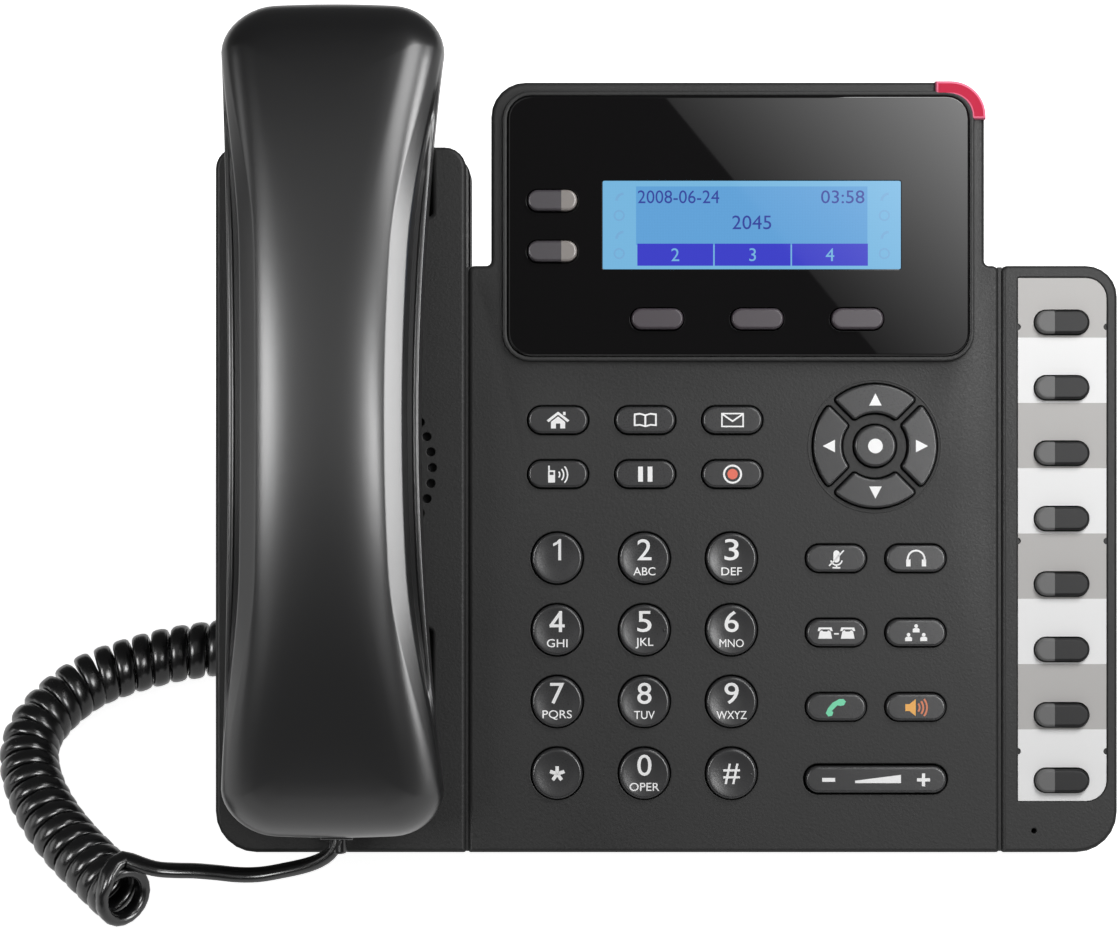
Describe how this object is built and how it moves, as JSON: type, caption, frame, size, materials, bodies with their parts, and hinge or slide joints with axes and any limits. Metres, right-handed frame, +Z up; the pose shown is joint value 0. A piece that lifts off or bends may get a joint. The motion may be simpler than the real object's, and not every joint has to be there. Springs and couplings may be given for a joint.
{
  "type": "desk ip phone",
  "caption": "Desk telephone for a network: leaning case with display, dial, function and speed keys, lift-off handset on a coiled cord, clip-on stand.",
  "frame": {"origin": "on the desk, at the middle of the footprint of the phone without its cord", "axes": "+Z up, +X to the right along the face, the face looks along -Y and up at 45 degrees"},
  "size_m": [0.266, 0.1594, 0.1648],
  "materials": {
    "housing": "fine-textured charcoal ABS",
    "rear": "fine-textured charcoal ABS",
    "stand": "fine-textured charcoal ABS",
    "rubber": "soft black rubber",
    "screw": "zinc-plated steel",
    "window": "polished acrylic, printed black behind",
    "lcd": "backlit blue liquid crystal panel",
    "lamp": "translucent red light guide",
    "card": "laminated white and grey card",
    "board": "glass-fibre board with green mask, nickel shields and dome switches",
    "speaker": "black frame with paper cone",
    "hook": "black acetal",
    "keycap": "satin rubber-coated key",
    "lens_key": "satin key with smoked light pipe",
    "rocker": "satin rubber-coated key",
    "handset_cover": "satin gloss black",
    "handset_shell": "satin gloss black",
    "capsule": "drawn metal can",
    "cord": "glossy black vinyl cord"
  },
  "bodies": {
    "root": {"front_housing": "housing", "rear_housing": "rear", "stand": "stand", "rubber_feet": "rubber", "case_screws": "screw", "display_window": "window", "lcd_module": "lcd", "message_lamp": "lamp", "label_card": "card", "circuit_board": "board", "loudspeaker": "speaker", "cord_coil": "cord"},
    "handset": {"handset_cover": "handset_cover", "handset_shell": "handset_shell", "handset_capsules": "capsule", "handset_lead": "cord"},
    "hook": {"hook_switch": "hook"},
    "rocker": {"volume_rocker": "rocker"},
    "key_1": {"key_1": "keycap"},
    "key_2": {"key_2": "keycap"},
    "key_3": {"key_3": "keycap"},
    "key_4": {"key_4": "keycap"},
    "key_5": {"key_5": "keycap"},
    "key_6": {"key_6": "keycap"},
    "key_7": {"key_7": "keycap"},
    "key_8": {"key_8": "keycap"},
    "key_9": {"key_9": "keycap"},
    "key_0": {"key_0": "keycap"},
    "key_star": {"key_star": "keycap"},
    "key_hash": {"key_hash": "keycap"},
    "key_home": {"key_home": "keycap"},
    "key_contacts": {"key_contacts": "keycap"},
    "key_message": {"key_message": "keycap"},
    "key_intercom": {"key_intercom": "keycap"},
    "key_hold": {"key_hold": "keycap"},
    "key_record": {"key_record": "keycap"},
    "nav_up": {"nav_up": "keycap"},
    "nav_down": {"nav_down": "keycap"},
    "nav_left": {"nav_left": "keycap"},
    "nav_right": {"nav_right": "keycap"},
    "nav_ok": {"nav_ok": "keycap"},
    "key_mute": {"key_mute": "keycap"},
    "key_headset": {"key_headset": "keycap"},
    "key_transfer": {"key_transfer": "keycap"},
    "key_conference": {"key_conference": "keycap"},
    "key_send": {"key_send": "keycap"},
    "key_speaker": {"key_speaker": "keycap"},
    "soft_key_1": {"soft_key_1": "keycap"},
    "soft_key_2": {"soft_key_2": "keycap"},
    "soft_key_3": {"soft_key_3": "keycap"},
    "line_key_1": {"line_key_1": "lens_key"},
    "line_key_2": {"line_key_2": "lens_key"},
    "speed_key_1": {"speed_key_1": "lens_key"},
    "speed_key_2": {"speed_key_2": "lens_key"},
    "speed_key_3": {"speed_key_3": "lens_key"},
    "speed_key_4": {"speed_key_4": "lens_key"},
    "speed_key_5": {"speed_key_5": "lens_key"},
    "speed_key_6": {"speed_key_6": "lens_key"},
    "speed_key_7": {"speed_key_7": "lens_key"},
    "speed_key_8": {"speed_key_8": "lens_key"}
  },
  "joints": [
    {"name": "handset_lift", "type": "slide", "parent": "root", "child": "handset", "axis": [0, -0.7071, 0.7071], "range_m": [0, 0.06]},
    {"name": "hook_plunge", "type": "slide", "parent": "root", "child": "hook", "axis": [0, -0.7071, 0.7071], "range_m": [0, 0.004]},
    {"name": "volume_rock", "type": "hinge", "parent": "root", "child": "rocker", "pos_m": [0.0484, -0.05244, 0.02236], "axis": [0, 0.7071, 0.7071], "range_deg": [-3, 3], "stiffness_Nm_per_rad": 0.05},
    {"name": "key_1_press", "type": "slide", "parent": "root", "child": "key_1", "axis": [0, 0.7071, -0.7071], "range_m": [0, 0.0012], "stiffness_N_per_m": 300},
    {"name": "key_2_press", "type": "slide", "parent": "root", "child": "key_2", "axis": [0, 0.7071, -0.7071], "range_m": [0, 0.0012], "stiffness_N_per_m": 300},
    {"name": "key_3_press", "type": "slide", "parent": "root", "child": "key_3", "axis": [0, 0.7071, -0.7071], "range_m": [0, 0.0012], "stiffness_N_per_m": 300},
    {"name": "key_4_press", "type": "slide", "parent": "root", "child": "key_4", "axis": [0, 0.7071, -0.7071], "range_m": [0, 0.0012], "stiffness_N_per_m": 300},
    {"name": "key_5_press", "type": "slide", "parent": "root", "child": "key_5", "axis": [0, 0.7071, -0.7071], "range_m": [0, 0.0012], "stiffness_N_per_m": 300},
    {"name": "key_6_press", "type": "slide", "parent": "root", "child": "key_6", "axis": [0, 0.7071, -0.7071], "range_m": [0, 0.0012], "stiffness_N_per_m": 300},
    {"name": "key_7_press", "type": "slide", "parent": "root", "child": "key_7", "axis": [0, 0.7071, -0.7071], "range_m": [0, 0.0012], "stiffness_N_per_m": 300},
    {"name": "key_8_press", "type": "slide", "parent": "root", "child": "key_8", "axis": [0, 0.7071, -0.7071], "range_m": [0, 0.0012], "stiffness_N_per_m": 300},
    {"name": "key_9_press", "type": "slide", "parent": "root", "child": "key_9", "axis": [0, 0.7071, -0.7071], "range_m": [0, 0.0012], "stiffness_N_per_m": 300},
    {"name": "key_0_press", "type": "slide", "parent": "root", "child": "key_0", "axis": [0, 0.7071, -0.7071], "range_m": [0, 0.0012], "stiffness_N_per_m": 300},
    {"name": "key_star_press", "type": "slide", "parent": "root", "child": "key_star", "axis": [0, 0.7071, -0.7071], "range_m": [0, 0.0012], "stiffness_N_per_m": 300},
    {"name": "key_hash_press", "type": "slide", "parent": "root", "child": "key_hash", "axis": [0, 0.7071, -0.7071], "range_m": [0, 0.0012], "stiffness_N_per_m": 300},
    {"name": "key_home_press", "type": "slide", "parent": "root", "child": "key_home", "axis": [0, 0.7071, -0.7071], "range_m": [0, 0.0012], "stiffness_N_per_m": 300},
    {"name": "key_contacts_press", "type": "slide", "parent": "root", "child": "key_contacts", "axis": [0, 0.7071, -0.7071], "range_m": [0, 0.0012], "stiffness_N_per_m": 300},
    {"name": "key_message_press", "type": "slide", "parent": "root", "child": "key_message", "axis": [0, 0.7071, -0.7071], "range_m": [0, 0.0012], "stiffness_N_per_m": 300},
    {"name": "key_intercom_press", "type": "slide", "parent": "root", "child": "key_intercom", "axis": [0, 0.7071, -0.7071], "range_m": [0, 0.0012], "stiffness_N_per_m": 300},
    {"name": "key_hold_press", "type": "slide", "parent": "root", "child": "key_hold", "axis": [0, 0.7071, -0.7071], "range_m": [0, 0.0012], "stiffness_N_per_m": 300},
    {"name": "key_record_press", "type": "slide", "parent": "root", "child": "key_record", "axis": [0, 0.7071, -0.7071], "range_m": [0, 0.0012], "stiffness_N_per_m": 300},
    {"name": "nav_up_press", "type": "slide", "parent": "root", "child": "nav_up", "axis": [0, 0.7071, -0.7071], "range_m": [0, 0.0012], "stiffness_N_per_m": 300},
    {"name": "nav_down_press", "type": "slide", "parent": "root", "child": "nav_down", "axis": [0, 0.7071, -0.7071], "range_m": [0, 0.0012], "stiffness_N_per_m": 300},
    {"name": "nav_left_press", "type": "slide", "parent": "root", "child": "nav_left", "axis": [0, 0.7071, -0.7071], "range_m": [0, 0.0012], "stiffness_N_per_m": 300},
    {"name": "nav_right_press", "type": "slide", "parent": "root", "child": "nav_right", "axis": [0, 0.7071, -0.7071], "range_m": [0, 0.0012], "stiffness_N_per_m": 300},
    {"name": "nav_ok_press", "type": "slide", "parent": "root", "child": "nav_ok", "axis": [0, 0.7071, -0.7071], "range_m": [0, 0.0012], "stiffness_N_per_m": 300},
    {"name": "key_mute_press", "type": "slide", "parent": "root", "child": "key_mute", "axis": [0, 0.7071, -0.7071], "range_m": [0, 0.0012], "stiffness_N_per_m": 300},
    {"name": "key_headset_press", "type": "slide", "parent": "root", "child": "key_headset", "axis": [0, 0.7071, -0.7071], "range_m": [0, 0.0012], "stiffness_N_per_m": 300},
    {"name": "key_transfer_press", "type": "slide", "parent": "root", "child": "key_transfer", "axis": [0, 0.7071, -0.7071], "range_m": [0, 0.0012], "stiffness_N_per_m": 300},
    {"name": "key_conference_press", "type": "slide", "parent": "root", "child": "key_conference", "axis": [0, 0.7071, -0.7071], "range_m": [0, 0.0012], "stiffness_N_per_m": 300},
    {"name": "key_send_press", "type": "slide", "parent": "root", "child": "key_send", "axis": [0, 0.7071, -0.7071], "range_m": [0, 0.0012], "stiffness_N_per_m": 300},
    {"name": "key_speaker_press", "type": "slide", "parent": "root", "child": "key_speaker", "axis": [0, 0.7071, -0.7071], "range_m": [0, 0.0012], "stiffness_N_per_m": 300},
    {"name": "soft_key_1_press", "type": "slide", "parent": "root", "child": "soft_key_1", "axis": [0, 0.7071, -0.7071], "range_m": [0, 0.0012], "stiffness_N_per_m": 300},
    {"name": "soft_key_2_press", "type": "slide", "parent": "root", "child": "soft_key_2", "axis": [0, 0.7071, -0.7071], "range_m": [0, 0.0012], "stiffness_N_per_m": 300},
    {"name": "soft_key_3_press", "type": "slide", "parent": "root", "child": "soft_key_3", "axis": [0, 0.7071, -0.7071], "range_m": [0, 0.0012], "stiffness_N_per_m": 300},
    {"name": "line_key_1_press", "type": "slide", "parent": "root", "child": "line_key_1", "axis": [0, 0.7071, -0.7071], "range_m": [0, 0.0012], "stiffness_N_per_m": 300},
    {"name": "line_key_2_press", "type": "slide", "parent": "root", "child": "line_key_2", "axis": [0, 0.7071, -0.7071], "range_m": [0, 0.0012], "stiffness_N_per_m": 300},
    {"name": "speed_key_1_press", "type": "slide", "parent": "root", "child": "speed_key_1", "axis": [0, 0.7071, -0.7071], "range_m": [0, 0.0012], "stiffness_N_per_m": 300},
    {"name": "speed_key_2_press", "type": "slide", "parent": "root", "child": "speed_key_2", "axis": [0, 0.7071, -0.7071], "range_m": [0, 0.0012], "stiffness_N_per_m": 300},
    {"name": "speed_key_3_press", "type": "slide", "parent": "root", "child": "speed_key_3", "axis": [0, 0.7071, -0.7071], "range_m": [0, 0.0012], "stiffness_N_per_m": 300},
    {"name": "speed_key_4_press", "type": "slide", "parent": "root", "child": "speed_key_4", "axis": [0, 0.7071, -0.7071], "range_m": [0, 0.0012], "stiffness_N_per_m": 300},
    {"name": "speed_key_5_press", "type": "slide", "parent": "root", "child": "speed_key_5", "axis": [0, 0.7071, -0.7071], "range_m": [0, 0.0012], "stiffness_N_per_m": 300},
    {"name": "speed_key_6_press", "type": "slide", "parent": "root", "child": "speed_key_6", "axis": [0, 0.7071, -0.7071], "range_m": [0, 0.0012], "stiffness_N_per_m": 300},
    {"name": "speed_key_7_press", "type": "slide", "parent": "root", "child": "speed_key_7", "axis": [0, 0.7071, -0.7071], "range_m": [0, 0.0012], "stiffness_N_per_m": 300},
    {"name": "speed_key_8_press", "type": "slide", "parent": "root", "child": "speed_key_8", "axis": [0, 0.7071, -0.7071], "range_m": [0, 0.0012], "stiffness_N_per_m": 300}
  ],
  "couplings": [
    {"joint": "hook_plunge", "follows": "handset_lift", "ratio": 0.066667}
  ]
}
